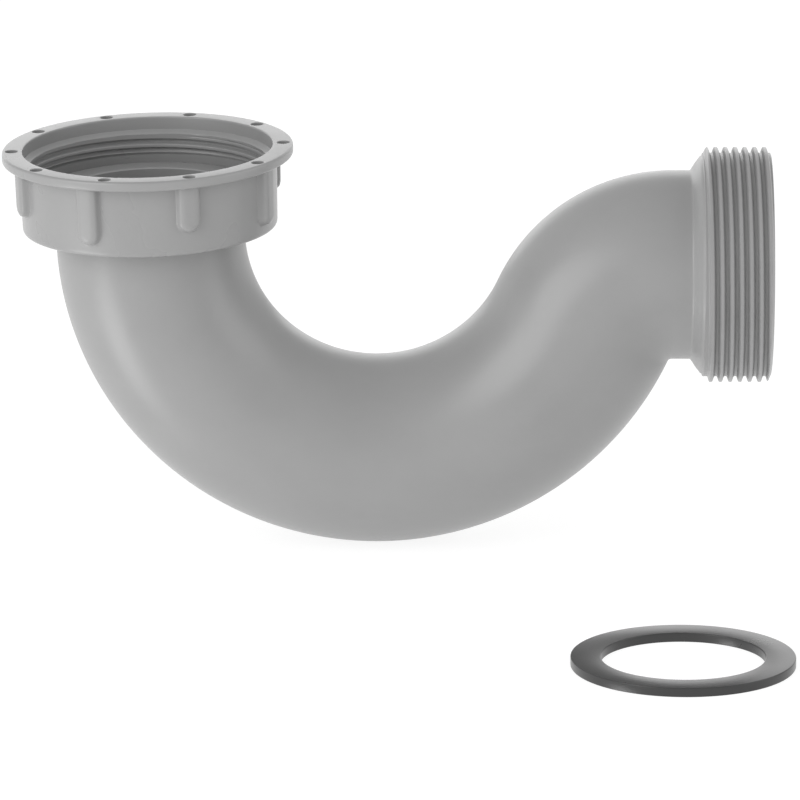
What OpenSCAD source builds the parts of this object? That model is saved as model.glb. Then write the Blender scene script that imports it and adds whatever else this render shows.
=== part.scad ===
// Basin trap: a tubular trap bend with a captive inlet nut and a loose sealing washer.
// All sizes are in millimetres. The inlet axis is Z and the inlet seat lies at Z = 0.
// The outlet points along +X and falls a little; the side seen in the photograph is -Y.

/* [Tube and bend] */
// Outside diameter of the tube
tube_diameter = 44.8; // [43:0.1:46]
// Wall thickness of the tube
tube_wall = 2.2; // [1.6:0.1:2.6]
// Radius of the U bend on the middle line of the tube
bend_radius = 53.8; // [45:0.1:75]
// Angle that the U bend climbs past its lowest point before the outlet elbow
climb_angle = 63.5; // [50:0.5:80]
// Fall of the outlet below a square position, in degrees
outlet_fall = 2; // [0:0.5:5]
// Radius left on the inside corner of the outlet elbow
elbow_inside_radius = 0.6; // [0.5:0.1:8]

/* [Inlet flange] */
// Free space all round between the inlet flange and the thread ridges of the nut
inlet_flange_clearance = 2; // [1.5:0.1:2.5]
// Thickness of the inlet flange
inlet_flange_thickness = 4; // [3:0.1:5]
// Straight tube showing between the nut and the bend
neck_below_nut = 2.5; // [1:0.1:20]

/* [Outlet] */
// Straight tube between the elbow and the flare of the outlet
outlet_neck = 4.5; // [3:0.1:30]
// Largest diameter over the thread of the outlet
outlet_thread_diameter = 55.8; // [55:0.1:58]
// Depth of the thread of the outlet
outlet_thread_depth = 1.35; // [1:0.05:1.5]
// Distance from one thread ridge to the next on the outlet
outlet_thread_pitch = 2.31; // [2:0.01:2.6]
// Number of thread ridges on the outlet
outlet_thread_ridges = 7; // [5:1:10]
// How much lower the first ridge and the last ridge are than the full thread
outlet_thread_lead = 0.2; // [0:0.05:0.2]
// Diameter of the socket in the outlet that takes the waste pipe
outlet_socket_diameter = 43.4; // [42.6:0.1:44]
// Depth of the straight part of the socket behind its sealing cone
outlet_socket_depth = 11.4; // [7:0.1:12]
// Depth of the sealing cone at the mouth of the socket
outlet_cone_depth = 2.6; // [1:0.1:3]

/* [Inlet nut] */
// Height of the nut
nut_height = 19.4; // [18.4:0.1:24]
// Distance from the top of the nut down to the inlet seat
nut_reach = 10.2; // [9.6:0.1:10.8]
// Free diameter inside the thread ridges
nut_thread_inside_diameter = 56.4; // [56:0.1:60]
// Depth of the grooves between the thread ridges
nut_thread_depth = 1; // [0.7:0.05:1.3]
// Distance from one thread ridge to the next in the nut
nut_thread_pitch = 2.1; // [1.9:0.01:2.2]
// Number of thread ridges in the nut
nut_thread_ridges = 3; // [2:1:3]
// Step from the bottom of the thread grooves out to the plain mouth
nut_mouth_step = 0.45; // [0.2:0.05:0.6]
// Depth of the plain mouth
nut_mouth_depth = 3.1; // [2.8:0.1:3.2]
// Wall outside the thread grooves, at the lower end of the nut
nut_wall = 1; // [0.8:0.1:2]
// Growth of the body diameter from the lower end to the top, for draft
nut_body_draft = 0.8; // [0:0.1:1]
// How far the flange round the top stands out from the lower end of the body
nut_flange_width = 4.3; // [4:0.1:6]
// Thickness of the flange round the top of the nut
nut_flange_thickness = 2.4; // [2.2:0.1:3.4]
// Wall of the skirt round the recess under the nut
nut_skirt_wall = 2.4; // [2:0.1:3.5]
// Free space all round between the tube and the hole in the floor of the nut
nut_hole_clearance = 0.6; // [0.4:0.05:1]
// Space between the floor of the nut and the underside of the inlet flange
nut_seat_gap = 0.3; // [0.3:0.05:0.6]
// Thickness of the floor of the nut
nut_floor_thickness = 3; // [2.4:0.1:3.4]

/* [Grip of the nut] */
// Number of grip ribs, long and short ones in turn
grip_rib_count = 8; // [4:2:10]
// Width of a grip rib
grip_rib_width = 5.2; // [4:0.1:6.5]
// How far the tops of the grip ribs stand out from the lower end of the body
grip_rib_height = 2.5; // [2:0.1:3]
// Reach of the long ribs below the top of the nut
long_rib_reach = 16.4; // [14:0.1:16.8]
// Reach of the short ribs below the top of the nut
short_rib_reach = 13.6; // [10:0.1:13.8]
// Turn of the first rib from the outlet side, in degrees
first_rib_angle = 18; // [0:1:45]
// Number of pin holes in the flange of the nut
pin_hole_count = 10; // [6:1:12]
// Diameter of a pin hole
pin_hole_diameter = 3; // [2:0.1:3.2]
// Distance from the rim of the flange to the middle of a pin hole
pin_hole_inset = 2.3; // [2.1:0.1:2.4]
// Depth of a pin hole
pin_hole_depth = 1.7; // [1:0.1:1.7]

/* [Sealing washer] */
// Outside diameter of the washer
washer_diameter = 52; // [50:0.1:56]
// Diameter of the hole in the washer
washer_hole_diameter = 38; // [36:0.1:42]
// Thickness of the washer
washer_thickness = 2.2; // [1.5:0.1:3]
// Distance of the washer from the inlet axis, towards the outlet side
washer_along = 120.3; // [110:0.1:150]
// Distance of the washer from the inlet axis, towards the viewer
washer_forward = 108; // [60:0.1:150]

/* [Hidden] */
$fn = 64;
tube_radius = tube_diameter / 2;
bore_radius = tube_radius - tube_wall;

// The neck runs from the seat at Z = 0 to where the U bend starts
nut_below_seat = nut_height - nut_reach;
neck_length = nut_below_seat + neck_below_nut;
bend_centre_z = -neck_length;

// The outlet elbow turns the climbing tube level, less the fall of the outlet
elbow_radius = tube_radius + elbow_inside_radius;
elbow_turn = climb_angle + outlet_fall;
bend_end_x = bend_radius * (1 + sin(climb_angle));
bend_end_z = bend_centre_z - bend_radius * cos(climb_angle);
elbow_centre_x = bend_end_x + elbow_radius * sin(climb_angle);
elbow_centre_z = bend_end_z - elbow_radius * cos(climb_angle);

// Line left on the tube by the split between the mould cores. Its ring joins the U bend
// to the elbow, and both arcs stop inside the ring.
core_line_height = 0.05;
core_line_width = 0.3;
core_line_inset = 0.05;

// Profile of the outlet, measured from the end of the elbow
flare_length = 1.4;
flare_height = 2.2;
shoulder_length = 0.9;
collar_length = 0.45;
collar_drop = 0.6;
collar_slope = 0.1;
thread_start = outlet_neck + flare_length + shoulder_length + collar_length;
thread_length = outlet_thread_ridges * outlet_thread_pitch;
outlet_length = thread_start + thread_length;
thread_root_radius = outlet_thread_diameter / 2 - outlet_thread_depth;
collar_radius = thread_root_radius - collar_drop;
flare_radius = tube_radius + flare_height;
ridge_tip_share = 0.2;
ridge_foot_share = 0.84;
lead_ridges = 3;
socket_radius = outlet_socket_diameter / 2;
socket_mouth_radius = socket_radius + outlet_cone_depth;

// Levels inside the nut
nut_top = nut_reach;
nut_bottom = -nut_below_seat;
floor_top = -inlet_flange_thickness - nut_seat_gap;
floor_bottom = max(nut_bottom, floor_top - nut_floor_thickness);
nut_ledge_top = nut_top - nut_mouth_depth;
nut_ledge_drop = 0.75;
nut_tip_reach = 0.2 * nut_thread_pitch;
nut_foot_reach = 0.38 * nut_thread_pitch;
first_nut_ridge = nut_ledge_top - nut_ledge_drop - nut_tip_reach;

// Radii of the nut, each stepped from the free radius inside its thread
nut_inside_radius = nut_thread_inside_diameter / 2;
nut_thread_root_radius = nut_inside_radius + nut_thread_depth;
nut_mouth_radius = nut_thread_root_radius + nut_mouth_step;
nut_body_radius = nut_thread_root_radius + nut_wall;
nut_body_top_radius = nut_body_radius + nut_body_draft / 2;
nut_flange_radius = nut_body_radius + nut_flange_width;
nut_hole_radius = tube_radius + nut_hole_clearance;
skirt_inside_radius = nut_body_radius - nut_skirt_wall;
grip_rib_radius = nut_body_radius + grip_rib_height;
grip_rib_draft = 0.5;
pin_circle_radius = nut_flange_radius - pin_hole_inset;

// Edges of the nut and of the inlet flange that the nut holds
nut_edge_round = 0.5;
nut_foot_round = 0.8;
nut_foot_ease = 0.25;
inlet_flange_radius = nut_inside_radius - inlet_flange_clearance;
inlet_flange_chamfer = 0.4;

// The washer lies level with the lowest point of the bend, with the outlet level
level_x = sin(outlet_fall);
level_z = cos(outlet_fall);
rest_level = bend_radius * level_x + bend_centre_z * level_z - bend_radius - tube_radius;
washer_rest_z = (rest_level - washer_along * level_x) / level_z;

// Ring with a round section, wall as thick as the tube, turned by an angle about its own axis
module tube_arc(radius, turn) {
    rotate_extrude(angle = turn, $fn = 72)
        translate([radius, 0])
            difference() {
                circle(r = tube_radius, $fn = 36);
                circle(r = bore_radius, $fn = 36);
            }
}

// Turn by which an arc of the tube stops short of the middle of the core split line
function inset_turn(radius) = core_line_inset / radius * 180 / PI;

// U bend from the neck down, round and up to the elbow
module u_bend() {
    translate([bend_radius, 0, bend_centre_z])
        rotate([90, 0, 0])
            rotate([0, 0, 180])
                tube_arc(bend_radius, 90 + climb_angle - inset_turn(bend_radius));
}

// Faint line that the split between the two cores of the mould leaves round the tube
module core_split_line() {
    translate([bend_end_x, 0, bend_end_z])
        rotate([0, 90 - climb_angle, 0])
            translate([0, 0, -core_line_width / 2])
                difference() {
                    cylinder(h = core_line_width, r = tube_radius + core_line_height);
                    translate([0, 0, -1])
                        cylinder(h = core_line_width + 2, r = bore_radius - core_line_height);
                }
}

// Straight neck with the flange that holds the nut and seats the washer
module neck() {
    rotate_extrude($fn = 48)
        polygon([
            [bore_radius, -neck_length],
            [tube_radius, -neck_length],
            [tube_radius, -inlet_flange_thickness],
            [inlet_flange_radius - inlet_flange_chamfer, -inlet_flange_thickness],
            [inlet_flange_radius, -inlet_flange_thickness + inlet_flange_chamfer],
            [inlet_flange_radius, -inlet_flange_chamfer],
            [inlet_flange_radius - inlet_flange_chamfer, 0],
            [bore_radius, 0]
        ]);
}

// Lowering of a ridge: the thread runs out at the collar and leads in at the mouth
function outlet_lead(k) =
    let (into_lead = max(0, k + 1 + lead_ridges - outlet_thread_ridges))
    outlet_thread_lead * (k == 0 ? 1 : into_lead / lead_ridges);

// Four corners of one thread ridge on the outlet, on the way to its mouth
function outlet_ridge(k) =
    let (middle = thread_start + (k + 0.5) * outlet_thread_pitch,
         foot = ridge_foot_share * outlet_thread_pitch / 2,
         tip = ridge_tip_share * outlet_thread_pitch / 2,
         crest = outlet_thread_diameter / 2 - outlet_lead(k))
    [
        [thread_root_radius, middle - foot],
        [crest, middle - tip],
        [crest, middle + tip],
        [thread_root_radius, middle + foot]
    ];

// Threaded outlet with its flare, collar and pipe socket, along Z from the end of the elbow
module outlet_spigot() {
    rotate_extrude($fn = 48)
        polygon(concat(
            [
                [bore_radius, 0],
                [tube_radius, 0],
                [tube_radius, outlet_neck],
                [flare_radius, outlet_neck + flare_length],
                [collar_radius, outlet_neck + flare_length + shoulder_length],
                [collar_radius, thread_start - collar_slope],
                [thread_root_radius, thread_start]
            ],
            [for (k = [0:outlet_thread_ridges - 1]) each outlet_ridge(k)],
            [
                [thread_root_radius, outlet_length],
                [socket_mouth_radius, outlet_length],
                [socket_radius, outlet_length - outlet_cone_depth],
                [socket_radius, outlet_length - outlet_cone_depth - outlet_socket_depth],
                [bore_radius, outlet_length - outlet_cone_depth - outlet_socket_depth]
            ]
        ));
}

// Outlet side: the elbow that turns level and the threaded spigot that follows it
module outlet_side() {
    translate([elbow_centre_x, 0, elbow_centre_z])
        rotate([0, outlet_fall, 0])
            union() {
                rotate([90, 0, 0])
                    rotate([0, 0, 90])
                        tube_arc(elbow_radius, elbow_turn - inset_turn(elbow_radius));
                translate([0, 0, elbow_radius])
                    rotate([0, 90, 0])
                        outlet_spigot();
            }
}

// Bend with its flanged inlet and threaded outlet, moulded in one piece
module trap_bend() {
    color([0.56, 0.57, 0.58])
        union() {
            neck();
            u_bend();
            core_split_line();
            outlet_side();
        }
}

// One grip rib: flat face, rounded long edges and a rounded lower end
module grip_rib(reach) {
    edge = 1.2;
    half = grip_rib_width / 2;
    outer = grip_rib_radius + 1;
    inner = nut_body_radius - 0.8;
    intersection() {
        translate([0, 0, nut_top - reach - 1])
            linear_extrude(height = reach)
                union() {
                    translate([inner, -half])
                        square([outer - inner - edge, grip_rib_width]);
                    translate([inner, -half + edge])
                        square([outer - inner, grip_rib_width - 2 * edge]);
                    translate([outer - edge, half - edge])
                        circle(r = edge, $fn = 20);
                    translate([outer - edge, edge - half])
                        circle(r = edge, $fn = 20);
                }
        translate([inner - 1, 0, nut_top - reach + half])
            rotate([90, 0, 90])
                linear_extrude(height = outer - inner + 2)
                    union() {
                        circle(r = half, $fn = 32);
                        translate([-half, 0])
                            square([grip_rib_width, reach - half - nut_flange_thickness / 2]);
                    }
    }
}

// All grip ribs, trimmed to a slight draft
module grip_ribs() {
    intersection() {
        union() {
            for (k = [0:grip_rib_count - 1])
                rotate([0, 0, first_rib_angle + k * 360 / grip_rib_count])
                    grip_rib(k % 2 == 0 ? short_rib_reach : long_rib_reach);
        }
        translate([0, 0, nut_bottom])
            cylinder(h = nut_height - nut_flange_thickness / 2,
                     r1 = grip_rib_radius - grip_rib_draft, r2 = grip_rib_radius, $fn = 96);
    }
}

// Outer form of the nut: drafted body and thin flange with eased edges
module nut_outside() {
    rotate_extrude($fn = 96)
        polygon([
            [0, nut_bottom],
            [nut_body_radius - nut_foot_round, nut_bottom],
            [nut_body_radius - nut_foot_ease, nut_bottom + nut_foot_ease],
            [nut_body_radius, nut_bottom + nut_foot_round],
            [nut_body_top_radius, nut_top - nut_flange_thickness],
            [nut_flange_radius - nut_edge_round, nut_top - nut_flange_thickness],
            [nut_flange_radius, nut_top - nut_flange_thickness + nut_edge_round],
            [nut_flange_radius, nut_top - nut_edge_round],
            [nut_flange_radius - nut_edge_round, nut_top],
            [0, nut_top]
        ]);
}

// Four corners of one thread ridge in the nut, on the way down
function nut_ridge(k) =
    let (middle = first_nut_ridge - k * nut_thread_pitch)
    [
        [nut_thread_root_radius, middle + nut_foot_reach],
        [nut_inside_radius, middle + nut_tip_reach],
        [nut_inside_radius, middle - nut_tip_reach],
        [nut_thread_root_radius, middle - nut_foot_reach]
    ];

// Hollow of the nut: mouth, thread, clear bore for the flange, floor hole and lower recess
module nut_hollow() {
    rotate_extrude($fn = 64)
        polygon(concat(
            [
                [0, nut_top + 1],
                [nut_mouth_radius, nut_top + 1],
                [nut_mouth_radius, nut_ledge_top],
                [nut_inside_radius, nut_ledge_top - nut_ledge_drop],
                [nut_inside_radius, first_nut_ridge - nut_tip_reach],
                [nut_thread_root_radius, first_nut_ridge - nut_foot_reach]
            ],
            [for (k = [1:nut_thread_ridges - 1]) each nut_ridge(k)],
            [
                [nut_thread_root_radius, floor_top],
                [nut_hole_radius, floor_top],
                [nut_hole_radius, floor_bottom],
                [skirt_inside_radius, floor_bottom],
                [skirt_inside_radius, nut_bottom - 1],
                [0, nut_bottom - 1]
            ]
        ));
}

// Pin holes round the flange of the nut
module pin_holes() {
    for (k = [0:pin_hole_count - 1])
        rotate([0, 0, k * 360 / pin_hole_count])
            translate([pin_circle_radius, 0, nut_top - pin_hole_depth])
                cylinder(h = pin_hole_depth + 1, d = pin_hole_diameter, $fn = 20);
}

// Captive union nut that turns on the neck below the inlet flange
module inlet_nut() {
    color([0.6, 0.61, 0.62])
        difference() {
            union() {
                nut_outside();
                grip_ribs();
            }
            nut_hollow();
            pin_holes();
        }
}

// Flat sealing washer, lying apart in front of the outlet
module sealing_washer() {
    color([0.2, 0.2, 0.21])
        translate([washer_along, -washer_forward, washer_rest_z])
            rotate([0, outlet_fall, 0])
                difference() {
                    cylinder(h = washer_thickness, d = washer_diameter, $fn = 96);
                    translate([0, 0, -1])
                        cylinder(h = washer_thickness + 2, d = washer_hole_diameter, $fn = 96);
                }
}

trap_bend();
inlet_nut();
sealing_washer();
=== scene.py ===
import math

import bmesh
import bpy
from mathutils import Matrix, Vector


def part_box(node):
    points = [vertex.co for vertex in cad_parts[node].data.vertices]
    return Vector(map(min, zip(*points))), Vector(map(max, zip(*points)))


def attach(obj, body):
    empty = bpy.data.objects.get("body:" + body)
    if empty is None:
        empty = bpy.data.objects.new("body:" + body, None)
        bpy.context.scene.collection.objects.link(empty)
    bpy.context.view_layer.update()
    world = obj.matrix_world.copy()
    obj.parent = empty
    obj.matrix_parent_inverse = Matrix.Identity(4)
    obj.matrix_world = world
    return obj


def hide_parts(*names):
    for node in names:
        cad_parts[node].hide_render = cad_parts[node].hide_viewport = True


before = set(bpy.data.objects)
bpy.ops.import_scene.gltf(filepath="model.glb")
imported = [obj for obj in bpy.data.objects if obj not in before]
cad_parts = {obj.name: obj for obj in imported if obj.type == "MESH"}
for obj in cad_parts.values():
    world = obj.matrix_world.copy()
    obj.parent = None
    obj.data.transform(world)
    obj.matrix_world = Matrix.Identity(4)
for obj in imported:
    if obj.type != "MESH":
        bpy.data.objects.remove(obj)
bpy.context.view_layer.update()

MM = 0.001

# Sizes of the bend in millimetres, as in the solids
TUBE_RADIUS = 22.4
BORE_RADIUS = 20.2
BEND_RADIUS = 53.8
CLIMB = math.radians(63.5)
FALL = math.radians(2.0)
ELBOW_RADIUS = TUBE_RADIUS + 0.6
NECK_LENGTH = 11.7
FLANGE_RADIUS = 26.2
FLANGE_THICKNESS = 4.0
OUTLET_NECK = 4.5
FLARE_LENGTH = 1.4
SHOULDER_LENGTH = 0.9
COLLAR_LENGTH = 0.45
THREAD_RADIUS = 27.9
THREAD_DEPTH = 1.35
THREAD_PITCH = 2.31
THREAD_RIDGES = 7
SOCKET_RADIUS = 21.7
SOCKET_DEPTH = 11.4
CONE_DEPTH = 2.6

# Sizes of the nut
NUT_TOP = 10.2
NUT_BOTTOM = -9.2
NUT_BODY_RADIUS = 30.2
NUT_BODY_TOP_RADIUS = 30.6
NUT_FLANGE_RADIUS = 34.5
NUT_FLANGE_THICKNESS = 2.4
NUT_MOUTH_RADIUS = 29.65
NUT_MOUTH_DEPTH = 3.1
NUT_CREST_RADIUS = 28.2
NUT_ROOT_RADIUS = 29.2
NUT_PITCH = 2.1
NUT_HOLE_RADIUS = 23.0
NUT_FLOOR_TOP = -4.3
NUT_FLOOR_BOTTOM = -7.3
NUT_SKIRT_RADIUS = 27.8
RIB_COUNT = 8
RIB_WIDTH = 5.2
RIB_RADIUS = 32.6
RIB_FIRST_ANGLE = 18.0
LONG_RIB_REACH = 16.4
SHORT_RIB_REACH = 13.6
PIN_COUNT = 10
PIN_RADIUS = 1.5
PIN_CIRCLE_RADIUS = 32.2
PIN_DEPTH = 1.7

# Sizes of the washer
WASHER_OUTER_RADIUS = 26.0
WASHER_INNER_RADIUS = 19.0
WASHER_THICKNESS = 2.2
WASHER_EDGE = 0.22


def smoothstep(low, high, value):
    t = min(1.0, max(0.0, (value - low) / (high - low)))
    return t * t * (3 - 2 * t)


def lerp(a, b, t):
    return a + (b - a) * t


def arc_points(centre_a, centre_b, radius, start, end, steps):
    """Points of a rounded corner in a profile, angles in degrees."""
    points = []
    for k in range(steps + 1):
        angle = math.radians(lerp(start, end, k / steps))
        points.append((centre_a + radius * math.cos(angle), centre_b + radius * math.sin(angle)))
    return points


def finish_mesh(name, mesh_builder, sharp_degrees):
    """Merges doubles, makes the normals agree and returns a linked object."""
    bmesh.ops.remove_doubles(mesh_builder, verts=mesh_builder.verts, dist=1e-6)
    bmesh.ops.dissolve_degenerate(mesh_builder, edges=mesh_builder.edges, dist=1e-7)
    bmesh.ops.recalc_face_normals(mesh_builder, faces=mesh_builder.faces)
    mesh = bpy.data.meshes.new(name)
    mesh_builder.to_mesh(mesh)
    mesh_builder.free()
    mesh.shade_smooth()
    mesh.set_sharp_from_angle(angle=math.radians(sharp_degrees))
    obj = bpy.data.objects.new(name, mesh)
    bpy.context.scene.collection.objects.link(obj)
    return obj


def add_rows(builder, rows):
    """Adds a closed band of quads between each ring of points and the next. Returns the rings' vertices."""
    made = [[builder.verts.new(point) for point in row] for row in rows]
    for lower, upper in zip(made, made[1:]):
        count = len(lower)
        for i in range(count):
            following = (i + 1) % count
            builder.faces.new((lower[i], lower[following], upper[following], upper[i]))
    return made


def add_helix(builder, angles, start, end, pitch, rows_per_pitch, point_at, hand=1):
    """Adds a band whose rows follow a helix between two plane rings. point_at(along, phase, i) gives a point."""
    count = len(angles)
    total = int(math.ceil((end - start) / pitch * rows_per_pitch)) + rows_per_pitch
    turns = [angle / math.tau for angle in angles]
    grid = []
    for j in range(total + rows_per_pitch + 1):
        row = []
        for i in range(count):
            turn = turns[i] if hand > 0 else 1 - turns[i]
            raw = start + pitch * (j / rows_per_pitch + turn - 1)
            along = min(end, max(start, raw))
            phase = (along - start) / pitch - turn
            row.append(builder.verts.new(point_at(along, phase, i)))
        grid.append(row)
    for j in range(total):
        for i in range(count):
            if i + 1 < count:
                corners = (grid[j][i], grid[j][i + 1], grid[j + 1][i + 1], grid[j + 1][i])
            elif hand > 0:
                corners = (
                    grid[j][i],
                    grid[j + rows_per_pitch][0],
                    grid[j + 1 + rows_per_pitch][0],
                    grid[j + 1][i],
                )
            else:
                if j < rows_per_pitch:
                    continue
                corners = (
                    grid[j][i],
                    grid[j - rows_per_pitch][0],
                    grid[j + 1 - rows_per_pitch][0],
                    grid[j + 1][i],
                )
            if len({tuple(round(c, 8) for c in v.co) for v in corners}) >= 3:
                builder.faces.new(corners)


# ---------------------------------------------------------------------------------------------
# The bend


def path_point(part, amount):
    """Centre, direction and inner normal of the tube: part is neck, bend, elbow or outlet."""
    if part == "neck":
        centre, heading = Vector((0, 0, -amount)), -math.pi / 2
    elif part == "bend":
        heading = amount - math.pi / 2
        middle = Vector((BEND_RADIUS, 0, -NECK_LENGTH))
        centre = middle + BEND_RADIUS * Vector((math.sin(heading), 0, -math.cos(heading)))
    else:
        reach = BEND_RADIUS + ELBOW_RADIUS
        middle = Vector((BEND_RADIUS + reach * math.sin(CLIMB), 0, -NECK_LENGTH - reach * math.cos(CLIMB)))
        heading = CLIMB - amount if part == "elbow" else -FALL
        centre = middle + ELBOW_RADIUS * Vector((-math.sin(heading), 0, math.cos(heading)))
        if part == "outlet":
            centre += amount * Vector((math.cos(heading), 0, math.sin(heading)))
    direction = Vector((math.cos(heading), 0, math.sin(heading)))
    normal = Vector((-math.sin(heading), 0, math.cos(heading)))
    return centre, direction, normal


def ring(part, amount, radius, angles):
    centre, _, normal = path_point(part, amount)
    side = Vector((0, -1, 0))
    return [
        (centre + radius * (math.cos(angle) * normal + math.sin(angle) * side)) * MM
        for angle in angles
    ]


def tube_radius_at(share):
    """Outside radius along the way from the neck, share 0, to the outlet, share 1: the same all the way, with no
    draft.
    """
    return TUBE_RADIUS + 0.0 * share


def thread_profile(u):
    """Height of the outlet thread, 0 to 1, over one pitch; u is measured from the middle of the ridge."""
    u = abs((u + 0.5) % 1.0 - 0.5)
    return 1 - smoothstep(0.12, 0.38, u)


def build_bend():
    count = 144
    angles = [math.tau * i / count for i in range(count)]
    builder = bmesh.new()
    rows = []

    # Inlet flange, from the bore over its top and edge to the neck
    edge = 0.4
    profile = [(0.0, BORE_RADIUS + 0.25), (0.0, FLANGE_RADIUS - edge)]
    profile += [
        (edge + along, FLANGE_RADIUS - edge + out)
        for along, out in ((-edge * math.cos(a), edge * math.sin(a)) for a in (0.52, 1.05, 1.5708))
    ]
    profile += [
        (FLANGE_THICKNESS - edge + edge * math.sin(a), FLANGE_RADIUS - edge + edge * math.cos(a))
        for a in (0.0, 0.52, 1.05, 1.5708)
    ]
    profile += [
        (FLANGE_THICKNESS, TUBE_RADIUS + 0.5),
        (FLANGE_THICKNESS + 0.15, TUBE_RADIUS + 0.15),
        (FLANGE_THICKNESS + 0.5, tube_radius_at(0)),
        (NECK_LENGTH - 3, tube_radius_at(0)),
    ]
    for along, radius in profile:
        rows.append(ring("neck", along, radius, angles))

    bend_turn = math.pi / 2 + CLIMB
    elbow_turn = CLIMB + FALL
    bend_length = BEND_RADIUS * bend_turn
    elbow_length = ELBOW_RADIUS * elbow_turn
    whole = bend_length + elbow_length + OUTLET_NECK
    bend_steps, elbow_steps = 80, 44
    for k in range(bend_steps + 1):
        turn = bend_turn * k / bend_steps
        rows.append(ring("bend", turn, tube_radius_at(BEND_RADIUS * turn / whole), angles))
    for k in range(1, elbow_steps + 1):
        turn = elbow_turn * k / elbow_steps
        share = (bend_length + ELBOW_RADIUS * turn) / whole
        rows.append(ring("elbow", turn, tube_radius_at(share), angles))

    # Outlet: plain tube, flare with a rounded shoulder, collar
    outlet_radius = tube_radius_at(1)
    root = THREAD_RADIUS - THREAD_DEPTH
    collar = root - 0.6
    thread_start = OUTLET_NECK + FLARE_LENGTH + SHOULDER_LENGTH + COLLAR_LENGTH
    thread_end = thread_start + THREAD_RIDGES * THREAD_PITCH
    profile = [
        (OUTLET_NECK * 0.5, outlet_radius),
        (OUTLET_NECK - 0.5, outlet_radius),
        (OUTLET_NECK - 0.15, outlet_radius + 0.06),
        (OUTLET_NECK + 0.1, outlet_radius + 0.32),
        (OUTLET_NECK + 0.5, outlet_radius + 0.95),
        (OUTLET_NECK + 1.0, outlet_radius + 1.75),
        (OUTLET_NECK + 1.4, outlet_radius + 2.3),
        (OUTLET_NECK + 1.8, outlet_radius + 2.8),
        (OUTLET_NECK + 2.2, collar - 0.18),
        (OUTLET_NECK + 2.5, collar - 0.04),
        (thread_start - 0.2, collar),
        (thread_start - 0.1, collar + 0.12),
        (thread_start, root - 0.05),
    ]
    for along, radius in profile:
        rows.append(ring("outlet", along, radius, angles))
    add_rows(builder, rows)

    # Thread: the ridge runs out at the collar and leads in at the mouth
    mouth_radius = root - 0.2

    def thread_point(along, phase, i):
        run_in = smoothstep(0.0, 1.1, along - thread_start)
        height = thread_profile(phase + THREAD_PHASE) * run_in
        radius = root - 0.05 * (1 - run_in) + THREAD_DEPTH * height
        lead = mouth_radius + (thread_end - along) * 2.2
        radius = min(radius, lead)
        centre, _, normal = path_point("outlet", along)
        side = Vector((0, -1, 0))
        return (centre + radius * (math.cos(angles[i]) * normal + math.sin(angles[i]) * side)) * MM

    add_helix(builder, angles, thread_start, thread_end, THREAD_PITCH, 18, thread_point)

    # Mouth, sealing cone, pipe socket and the bore back to the inlet
    rows = [ring("outlet", thread_end, mouth_radius, angles)]
    for along, radius in (
        (thread_end, SOCKET_RADIUS + CONE_DEPTH + 0.3),
        (thread_end - 0.3, SOCKET_RADIUS + CONE_DEPTH - 0.2),
        (thread_end - CONE_DEPTH + 0.2, SOCKET_RADIUS + 0.2),
        (thread_end - CONE_DEPTH - 0.2, SOCKET_RADIUS),
        (thread_end - CONE_DEPTH - SOCKET_DEPTH, SOCKET_RADIUS),
        (thread_end - CONE_DEPTH - SOCKET_DEPTH, BORE_RADIUS + 0.2),
        (thread_end - CONE_DEPTH - SOCKET_DEPTH - 0.2, BORE_RADIUS),
        (OUTLET_NECK, BORE_RADIUS),
    ):
        rows.append(ring("outlet", along, radius, angles))
    for k in range(elbow_steps, -1, -2):
        rows.append(ring("elbow", elbow_turn * k / elbow_steps, BORE_RADIUS, angles))
    for k in range(bend_steps - 2, -1, -2):
        rows.append(ring("bend", bend_turn * k / bend_steps, BORE_RADIUS, angles))
    rows.append(ring("neck", 0.25, BORE_RADIUS, angles))
    rows.append(ring("neck", 0.0, BORE_RADIUS + 0.25, angles))
    add_rows(builder, rows)
    return finish_mesh("bend_moulding", builder, 42)


THREAD_PHASE = -0.40

# ---------------------------------------------------------------------------------------------
# The nut


def nut_angles():
    """Angles round the nut, close together at the flanks of the ribs."""
    offsets = [0.0, 0.8, 1.4, 1.75, 2.0, 2.2, 2.4, 2.6, 2.8, 3.05, 3.4]
    gap_steps = 11
    middle_radius = 31.4
    half_space = math.pi / RIB_COUNT
    last = offsets[-1] / middle_radius
    angles = []
    for rib in range(RIB_COUNT):
        centre = math.radians(RIB_FIRST_ANGLE) + rib * 2 * half_space
        for offset in reversed(offsets[1:]):
            angles.append(centre - offset / middle_radius)
        for offset in offsets:
            angles.append(centre + offset / middle_radius)
        gap = 2 * (half_space - last)
        for k in range(1, gap_steps):
            angles.append(centre + last + gap * k / gap_steps)
    return sorted(angle % math.tau for angle in angles)


def rib_height(angle, z):
    """How far the ribs stand out of the body of the nut at a place."""
    space = math.tau / RIB_COUNT
    turn = (angle - math.radians(RIB_FIRST_ANGLE) + space / 2) % math.tau
    rib = int(turn // space)
    across = (turn % space - space / 2) * 31.4
    reach = SHORT_RIB_REACH if rib % 2 == 0 else LONG_RIB_REACH
    half = RIB_WIDTH / 2
    end_centre = NUT_TOP - reach + half
    inside = half - math.hypot(across, max(0.0, end_centre - z))
    return 0.8 * smoothstep(-0.4, 0.35, inside) + 0.2 * smoothstep(0.1, 1.3, inside)


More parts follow.
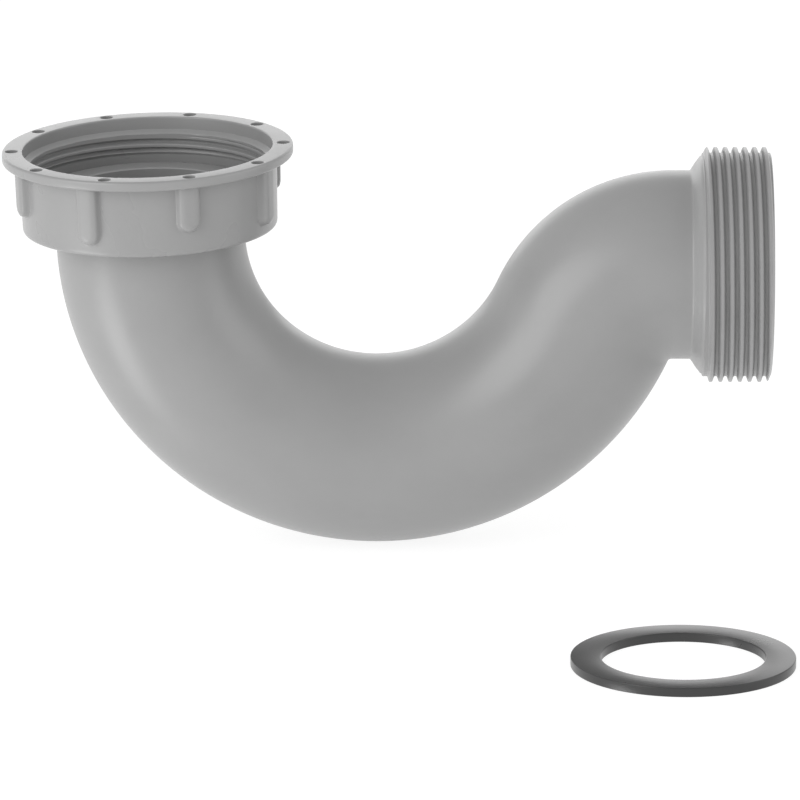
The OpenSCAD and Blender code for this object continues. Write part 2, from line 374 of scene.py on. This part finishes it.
def build_nut():
    angles = nut_angles()
    builder = bmesh.new()

    def flat_ring(radius, z):
        return [Vector((radius * math.cos(a), radius * math.sin(a), z)) * MM for a in angles]

    def body_ring(z, radius):
        share = (z - NUT_BOTTOM) / (NUT_TOP - NUT_BOTTOM)
        row = []
        for a in angles:
            rib = max(0.0, RIB_RADIUS - 0.3 + 0.35 * share - radius)
            r = radius + rib * rib_height(a, z)
            row.append(Vector((r * math.cos(a), r * math.sin(a), z)) * MM)
        return row

    flange_under = NUT_TOP - NUT_FLANGE_THICKNESS
    rows = []
    # Lower recess and rounded lower edge
    rows.append(flat_ring(NUT_SKIRT_RADIUS, NUT_FLOOR_BOTTOM))
    rows.append(flat_ring(NUT_SKIRT_RADIUS, NUT_BOTTOM + 0.2))
    rows.append(flat_ring(NUT_SKIRT_RADIUS + 0.2, NUT_BOTTOM))
    corner = 0.9
    rows.append(flat_ring(NUT_BODY_RADIUS - corner - 0.3, NUT_BOTTOM))
    for k in range(6):
        a = math.pi / 2 * k / 5
        rows.append(
            flat_ring(
                NUT_BODY_RADIUS - corner + corner * math.sin(a),
                NUT_BOTTOM + corner - corner * math.cos(a),
            )
        )
    # Body with the ribs
    z = NUT_BOTTOM + corner + 0.25
    while z < flange_under - 0.3:
        share = (z - NUT_BOTTOM) / (flange_under - NUT_BOTTOM)
        rows.append(body_ring(z, lerp(NUT_BODY_RADIUS, NUT_BODY_TOP_RADIUS, share)))
        z += 0.25 if z < NUT_TOP - SHORT_RIB_REACH + 3.2 else 0.8
    # Flange: fillet below, rounded edge, top
    fillet = 0.3
    rows.append(body_ring(flange_under - fillet, NUT_BODY_TOP_RADIUS))
    rows.append(body_ring(flange_under - fillet * 0.3, NUT_BODY_TOP_RADIUS + fillet * 0.3))
    rows.append(body_ring(flange_under, NUT_BODY_TOP_RADIUS + fillet))
    edge = 0.6
    rows.append(flat_ring(NUT_FLANGE_RADIUS - edge - 0.2, flange_under))
    for k in range(6):
        a = math.pi / 2 * k / 5
        rows.append(
            flat_ring(
                NUT_FLANGE_RADIUS - edge + edge * math.sin(a),
                flange_under + edge - edge * math.cos(a),
            )
        )
    for k in range(6):
        a = math.pi / 2 * k / 5
        rows.append(
            flat_ring(NUT_FLANGE_RADIUS - edge + edge * math.cos(a), NUT_TOP - edge + edge * math.sin(a))
        )
    lip = 0.35
    rows.append(flat_ring(NUT_MOUTH_RADIUS + lip + 0.2, NUT_TOP))
    for k in range(5):
        a = math.pi / 2 * k / 4
        rows.append(
            flat_ring(NUT_MOUTH_RADIUS + lip - lip * math.sin(a), NUT_TOP - lip + lip * math.cos(a))
        )
    ledge_top = NUT_TOP - NUT_MOUTH_DEPTH
    rows.append(flat_ring(NUT_MOUTH_RADIUS, ledge_top + 0.1))
    rows.append(flat_ring(NUT_MOUTH_RADIUS - 0.1, ledge_top))
    add_rows(builder, rows)

    # Thread inside, a right-hand helix that starts in the ledge and runs out above the floor
    thread_end_z = 0.4
    thread_rows = []

    def thread_point(along, phase, i):
        z = ledge_top - along
        cone = NUT_MOUTH_RADIUS - 0.1 - along * 1.9
        height = thread_profile_nut(phase + NUT_PHASE)
        height *= 1 - smoothstep(ledge_top - thread_end_z - 2.4, ledge_top - thread_end_z - 0.6, along)
        radius = NUT_ROOT_RADIUS - (NUT_ROOT_RADIUS - NUT_CREST_RADIUS) * height
        first = NUT_CREST_RADIUS if along < 1.3 else lerp(NUT_CREST_RADIUS, 99, min(1, (along - 1.3) / 0.8))
        radius = min(radius, first) if along < 2.1 else radius
        radius = max(radius, cone)
        a = angles[i]
        return Vector((radius * math.cos(a), radius * math.sin(a), z)) * MM

    add_helix(builder, angles, 0.0, ledge_top - thread_end_z, NUT_PITCH, 16, thread_point, hand=-1)

    rows = [flat_ring(NUT_ROOT_RADIUS, thread_end_z)]
    rows.append(flat_ring(NUT_ROOT_RADIUS, NUT_FLOOR_TOP + 0.3))
    rows.append(flat_ring(NUT_ROOT_RADIUS - 0.3, NUT_FLOOR_TOP))
    rows.append(flat_ring(NUT_HOLE_RADIUS + 0.2, NUT_FLOOR_TOP))
    rows.append(flat_ring(NUT_HOLE_RADIUS, NUT_FLOOR_TOP - 0.2))
    rows.append(flat_ring(NUT_HOLE_RADIUS, NUT_FLOOR_BOTTOM + 0.2))
    rows.append(flat_ring(NUT_HOLE_RADIUS + 0.2, NUT_FLOOR_BOTTOM))
    rows.append(flat_ring(NUT_SKIRT_RADIUS, NUT_FLOOR_BOTTOM))
    add_rows(builder, rows)
    nut = finish_mesh("nut_moulding", builder, 42)
    return cut_pin_holes(nut)


NUT_PHASE = 0.0


def thread_profile_nut(u):
    u = abs((u + 0.5) % 1.0 - 0.5)
    return 1 - smoothstep(0.14, 0.40, u)


def cut_pin_holes(nut):
    builder = bmesh.new()
    steps = 28
    for k in range(PIN_COUNT):
        angle = math.tau * k / PIN_COUNT
        middle = Vector((PIN_CIRCLE_RADIUS * math.cos(angle), PIN_CIRCLE_RADIUS * math.sin(angle), 0))
        rows = []
        levels = (
            (NUT_TOP - PIN_DEPTH, 0.001),
            (NUT_TOP - PIN_DEPTH, PIN_RADIUS - 0.15),
            (NUT_TOP - PIN_DEPTH + 0.15, PIN_RADIUS),
            (NUT_TOP - 0.15, PIN_RADIUS),
            (NUT_TOP + 0.05, PIN_RADIUS + 0.2),
            (NUT_TOP + 1.0, PIN_RADIUS + 0.2),
            (NUT_TOP + 1.0, 0.001),
        )
        for z, radius in levels:
            rows.append(
                [
                    (middle + Vector((radius * math.cos(a), radius * math.sin(a), z))) * MM
                    for a in (math.tau * i / steps for i in range(steps))
                ]
            )
        made = add_rows(builder, rows)
        builder.faces.new(made[0])
        builder.faces.new(made[-1])
    bmesh.ops.recalc_face_normals(builder, faces=builder.faces)
    cutter_mesh = bpy.data.meshes.new("pin_cutter")
    builder.to_mesh(cutter_mesh)
    builder.free()
    cutter = bpy.data.objects.new("pin_cutter", cutter_mesh)
    bpy.context.scene.collection.objects.link(cutter)
    modifier = nut.modifiers.new("pin_holes", "BOOLEAN")
    modifier.operation = "DIFFERENCE"
    modifier.solver = "EXACT"
    modifier.object = cutter
    bpy.context.view_layer.update()
    depsgraph = bpy.context.evaluated_depsgraph_get()
    made = bpy.data.meshes.new_from_object(nut.evaluated_get(depsgraph))
    nut.modifiers.clear()
    nut.data = made
    made.name = "nut_moulding"
    bpy.data.objects.remove(cutter)
    made.shade_smooth()
    made.set_sharp_from_angle(angle=math.radians(38))
    return nut


# ---------------------------------------------------------------------------------------------
# The washer


def build_washer():
    low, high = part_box("sealing_washer")
    middle = (low + high) / 2
    up = Vector((math.sin(FALL), 0, math.cos(FALL)))
    along = Vector((math.cos(FALL), 0, -math.sin(FALL)))
    side = Vector((0, 1, 0))
    half = WASHER_THICKNESS / 2
    profile = []
    for centre_r, centre_h, start in (
        (WASHER_OUTER_RADIUS - WASHER_EDGE, half - WASHER_EDGE, 0),
        (WASHER_INNER_RADIUS + WASHER_EDGE, half - WASHER_EDGE, 90),
        (WASHER_INNER_RADIUS + WASHER_EDGE, -half + WASHER_EDGE, 180),
        (WASHER_OUTER_RADIUS - WASHER_EDGE, -half + WASHER_EDGE, 270),
    ):
        profile += arc_points(centre_r, centre_h, WASHER_EDGE, start, start + 90, 4)
    profile.append(profile[0])
    count = 192
    rows = []
    for radius, height in profile:
        rows.append(
            [
                middle
                + (along * radius * math.cos(a) + side * radius * math.sin(a) + up * height) * MM
                for a in (math.tau * i / count for i in range(count))
            ]
        )
    builder = bmesh.new()
    add_rows(builder, rows)
    return finish_mesh("washer_ring", builder, 40)


# ---------------------------------------------------------------------------------------------
# Materials


def new_material(name):
    material = bpy.data.materials.new(name)
    material.use_nodes = True
    nodes = material.node_tree.nodes
    nodes.clear()
    output = nodes.new("ShaderNodeOutputMaterial")
    shader = nodes.new("ShaderNodeBsdfPrincipled")
    material.node_tree.links.new(shader.outputs["BSDF"], output.inputs["Surface"])
    return material, nodes, material.node_tree.links, shader


def moulded_plastic(name, grey, roughness, grain_scale, bump):
    """Satin moulded polypropylene: faint clouds of tone, a fine skin and uneven gloss."""
    material, nodes, links, shader = new_material(name)
    coords = nodes.new("ShaderNodeTexCoord")
    clouds = nodes.new("ShaderNodeTexNoise")
    clouds.inputs["Scale"].default_value = 38.0
    clouds.inputs["Detail"].default_value = 4.0
    clouds.inputs["Roughness"].default_value = 0.55
    links.new(coords.outputs["Object"], clouds.inputs["Vector"])
    tone = nodes.new("ShaderNodeMapRange")
    tone.inputs["From Min"].default_value = 0.3
    tone.inputs["From Max"].default_value = 0.7
    tone.inputs["To Min"].default_value = grey * 0.965
    tone.inputs["To Max"].default_value = grey * 1.035
    links.new(clouds.outputs["Fac"], tone.inputs["Value"])
    colour = nodes.new("ShaderNodeCombineColor")
    for channel in ("Red", "Green", "Blue"):
        links.new(tone.outputs["Result"], colour.inputs[channel])
    links.new(colour.outputs["Color"], shader.inputs["Base Color"])
    gloss = nodes.new("ShaderNodeMapRange")
    gloss.inputs["From Min"].default_value = 0.25
    gloss.inputs["From Max"].default_value = 0.75
    gloss.inputs["To Min"].default_value = roughness - 0.05
    gloss.inputs["To Max"].default_value = roughness + 0.06
    links.new(clouds.outputs["Fac"], gloss.inputs["Value"])
    links.new(gloss.outputs["Result"], shader.inputs["Roughness"])
    grain = nodes.new("ShaderNodeTexNoise")
    grain.inputs["Scale"].default_value = grain_scale
    grain.inputs["Detail"].default_value = 3.0
    grain.inputs["Roughness"].default_value = 0.6
    links.new(coords.outputs["Object"], grain.inputs["Vector"])
    relief = nodes.new("ShaderNodeBump")
    relief.inputs["Strength"].default_value = bump
    relief.inputs["Distance"].default_value = 0.0001
    links.new(grain.outputs["Fac"], relief.inputs["Height"])
    links.new(relief.outputs["Normal"], shader.inputs["Normal"])
    shader.inputs["IOR"].default_value = 1.49
    return material


def rubber(name, grey):
    """Dark moulded rubber with a fine matt skin."""
    material, nodes, links, shader = new_material(name)
    coords = nodes.new("ShaderNodeTexCoord")
    patches = nodes.new("ShaderNodeTexNoise")
    patches.inputs["Scale"].default_value = 90.0
    patches.inputs["Detail"].default_value = 5.0
    links.new(coords.outputs["Object"], patches.inputs["Vector"])
    tone = nodes.new("ShaderNodeMapRange")
    tone.inputs["To Min"].default_value = grey * 0.8
    tone.inputs["To Max"].default_value = grey * 1.25
    links.new(patches.outputs["Fac"], tone.inputs["Value"])
    colour = nodes.new("ShaderNodeCombineColor")
    for channel in ("Red", "Green", "Blue"):
        links.new(tone.outputs["Result"], colour.inputs[channel])
    links.new(colour.outputs["Color"], shader.inputs["Base Color"])
    gloss = nodes.new("ShaderNodeMapRange")
    gloss.inputs["To Min"].default_value = 0.24
    gloss.inputs["To Max"].default_value = 0.34
    links.new(patches.outputs["Fac"], gloss.inputs["Value"])
    links.new(gloss.outputs["Result"], shader.inputs["Roughness"])
    grain = nodes.new("ShaderNodeTexNoise")
    grain.inputs["Scale"].default_value = 2600.0
    grain.inputs["Detail"].default_value = 2.0
    links.new(coords.outputs["Object"], grain.inputs["Vector"])
    relief = nodes.new("ShaderNodeBump")
    relief.inputs["Strength"].default_value = 0.15
    relief.inputs["Distance"].default_value = 0.0001
    links.new(grain.outputs["Fac"], relief.inputs["Height"])
    links.new(relief.outputs["Normal"], shader.inputs["Normal"])
    return material


# ---------------------------------------------------------------------------------------------
# Stage, lights and camera

VIEW_DISTANCE = 2857.0
VIEW_LENS = 540.0
VIEW_ELEVATION = math.radians(15.18)
VIEW_ROLL = math.radians(1.893)
VIEW_TURN = math.radians(0.35)
VIEW_TARGET = Vector((57.8, 0, -53.9))


def make_camera():
    """Camera that sees the object as in the photograph: a long lens, a little above and rolled."""
    elevation = VIEW_ELEVATION
    forward = Vector((0, math.cos(elevation), -math.sin(elevation)))
    right = Vector((1, 0, 0))
    up = Vector((0, math.sin(elevation), math.cos(elevation)))
    place = VIEW_TARGET - forward * VIEW_DISTANCE
    right, up = (
        math.cos(VIEW_ROLL) * right - math.sin(VIEW_ROLL) * up,
        math.sin(VIEW_ROLL) * right + math.cos(VIEW_ROLL) * up,
    )
    turned = Matrix.Rotation(-VIEW_TURN, 3, "Z")
    right, up, forward, place = turned @ right, turned @ up, turned @ forward, turned @ place
    data = bpy.data.cameras.new("camera")
    data.lens = VIEW_LENS
    data.sensor_width = 36.0
    data.clip_start = 0.1
    data.clip_end = 20.0
    camera = bpy.data.objects.new("camera", data)
    bpy.context.scene.collection.objects.link(camera)
    basis = Matrix((right, up, -forward)).transposed().to_4x4()
    camera.matrix_world = Matrix.Translation(place * MM) @ basis
    bpy.context.scene.camera = camera
    return camera


def camera_or_mirror(nodes, links):
    """1 for rays from the camera and for mirrored or transmitted ones, else 0."""
    path = nodes.new("ShaderNodeLightPath")
    first = nodes.new("ShaderNodeMath")
    first.operation = "MAXIMUM"
    links.new(path.outputs["Is Camera Ray"], first.inputs[0])
    links.new(path.outputs["Is Glossy Ray"], first.inputs[1])
    second = nodes.new("ShaderNodeMath")
    second.operation = "MAXIMUM"
    links.new(first.outputs[0], second.inputs[0])
    links.new(path.outputs["Is Transmission Ray"], second.inputs[1])
    return second.outputs[0]


FLOOR_GLOW = 0.86
FLOOR_ANSWER = 0.24
FLOOR_BOUNCE = 0.24
AMBIENT = 0.84
LIGHT_TARGET = (0.06, 0.0, -0.04)
KEY_PLACE = (-0.9, -0.86, 0.5)
KEY_SIZE = (1.15, 1.15)
KEY_ENERGY = 8.2
LOW_PLACE = (-0.97, -0.5, -0.66)
LOW_SIZE = (0.6, 0.6)
LOW_ENERGY = 3.4
FILL_PLACE = (1.25, -0.3, 0.3)
FILL_SIZE = (1.0, 1.0)
FILL_ENERGY = 3.0
BACK_PLACE = (0.0, 1.6, 0.36)
BACK_SIZE = (2.0, 0.9)
BACK_ENERGY = 4.4


def make_stage():
    """White floor under the lowest point of the bend, level with the washer, and a white world."""
    up = Vector((math.sin(FALL), 0, math.cos(FALL)))
    middle = Vector((BEND_RADIUS, 0, -NECK_LENGTH))
    level = middle.dot(up) - BEND_RADIUS - TUBE_RADIUS - 0.02
    size = 3000.0
    along = Vector((math.cos(FALL), 0, -math.sin(FALL)))
    side = Vector((0, 1, 0))
    corners = [
        (up * level + along * (60 + a * size) + side * b * size) * MM
        for a, b in ((-1, -1), (1, -1), (1, 1), (-1, 1))
    ]
    mesh = bpy.data.meshes.new("floor")
    mesh.from_pydata([tuple(c) for c in corners], [], [(0, 1, 2, 3)])
    floor = bpy.data.objects.new("floor", mesh)
    bpy.context.scene.collection.objects.link(floor)
    material = bpy.data.materials.new("floor_white")
    material.use_nodes = True
    nodes, links = material.node_tree.nodes, material.node_tree.links
    nodes.clear()
    output = nodes.new("ShaderNodeOutputMaterial")
    white = nodes.new("ShaderNodeBsdfDiffuse")
    white.inputs["Color"].default_value = (0.9, 0.9, 0.9, 1)
    bounce = nodes.new("ShaderNodeEmission")
    bounce.inputs["Strength"].default_value = FLOOR_BOUNCE
    plain = nodes.new("ShaderNodeAddShader")
    links.new(white.outputs[0], plain.inputs[0])
    links.new(bounce.outputs[0], plain.inputs[1])
    faint = nodes.new("ShaderNodeBsdfDiffuse")
    faint.inputs["Color"].default_value = (FLOOR_ANSWER, FLOOR_ANSWER, FLOOR_ANSWER, 1)
    glow = nodes.new("ShaderNodeEmission")
    glow.inputs["Strength"].default_value = FLOOR_GLOW
    both = nodes.new("ShaderNodeAddShader")
    links.new(faint.outputs[0], both.inputs[0])
    links.new(glow.outputs[0], both.inputs[1])
    mix = nodes.new("ShaderNodeMixShader")
    links.new(camera_or_mirror(nodes, links), mix.inputs[0])
    links.new(plain.outputs[0], mix.inputs[1])
    links.new(both.outputs[0], mix.inputs[2])
    links.new(mix.outputs[0], output.inputs["Surface"])
    material.cycles.emission_sampling = "NONE"
    mesh.materials.append(material)
    floor.visible_shadow = False

    world = bpy.data.worlds.new("white_world")
    bpy.context.scene.world = world
    world.use_nodes = True
    world.cycles.sampling_method = "NONE"
    nodes, links = world.node_tree.nodes, world.node_tree.links
    nodes.clear()
    output = nodes.new("ShaderNodeOutputWorld")
    lit = nodes.new("ShaderNodeBackground")
    lit.inputs["Strength"].default_value = AMBIENT
    seen = nodes.new("ShaderNodeBackground")
    seen.inputs["Strength"].default_value = 1.0
    mix = nodes.new("ShaderNodeMixShader")
    links.new(camera_or_mirror(nodes, links), mix.inputs[0])
    links.new(lit.outputs[0], mix.inputs[1])
    links.new(seen.outputs[0], mix.inputs[2])
    links.new(mix.outputs[0], output.inputs["Surface"])


def soft_light(name, place, size, energy):
    """Oval soft light, size across and up, that points at the middle of the object."""
    data = bpy.data.lights.new(name, "AREA")
    data.shape = "ELLIPSE"
    data.size, data.size_y = size
    data.energy = energy
    light = bpy.data.objects.new(name, data)
    light.location = place
    light.rotation_mode = "QUATERNION"
    light.rotation_quaternion = (Vector(LIGHT_TARGET) - Vector(place)).to_track_quat("-Z", "Y")
    light.visible_camera = False
    bpy.context.scene.collection.objects.link(light)
    return light


make_camera()
make_stage()
soft_light("key", KEY_PLACE, KEY_SIZE, KEY_ENERGY)
soft_light("fill", FILL_PLACE, FILL_SIZE, FILL_ENERGY)
soft_light("back", BACK_PLACE, BACK_SIZE, BACK_ENERGY)
low_light = soft_light("low", LOW_PLACE, LOW_SIZE, LOW_ENERGY)
# The low light shines up through the floor, so only direct samples can reach the object
low_light.data.cycles.use_multiple_importance_sampling = False

bend = build_bend()
nut = build_nut()
washer = build_washer()

bend.data.materials.append(moulded_plastic("bend_plastic", 0.285, 0.32, 1400.0, 0.2))
nut.data.materials.append(moulded_plastic("nut_plastic", 0.285, 0.29, 1400.0, 0.15))
washer.data.materials.append(rubber("washer_rubber", 0.03))

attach(bend, "bend")
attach(nut, "nut")
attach(washer, "bend")
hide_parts("trap_bend")
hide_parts("inlet_nut")
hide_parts("sealing_washer")

scene = bpy.context.scene
scene.view_settings.view_transform = "Standard"
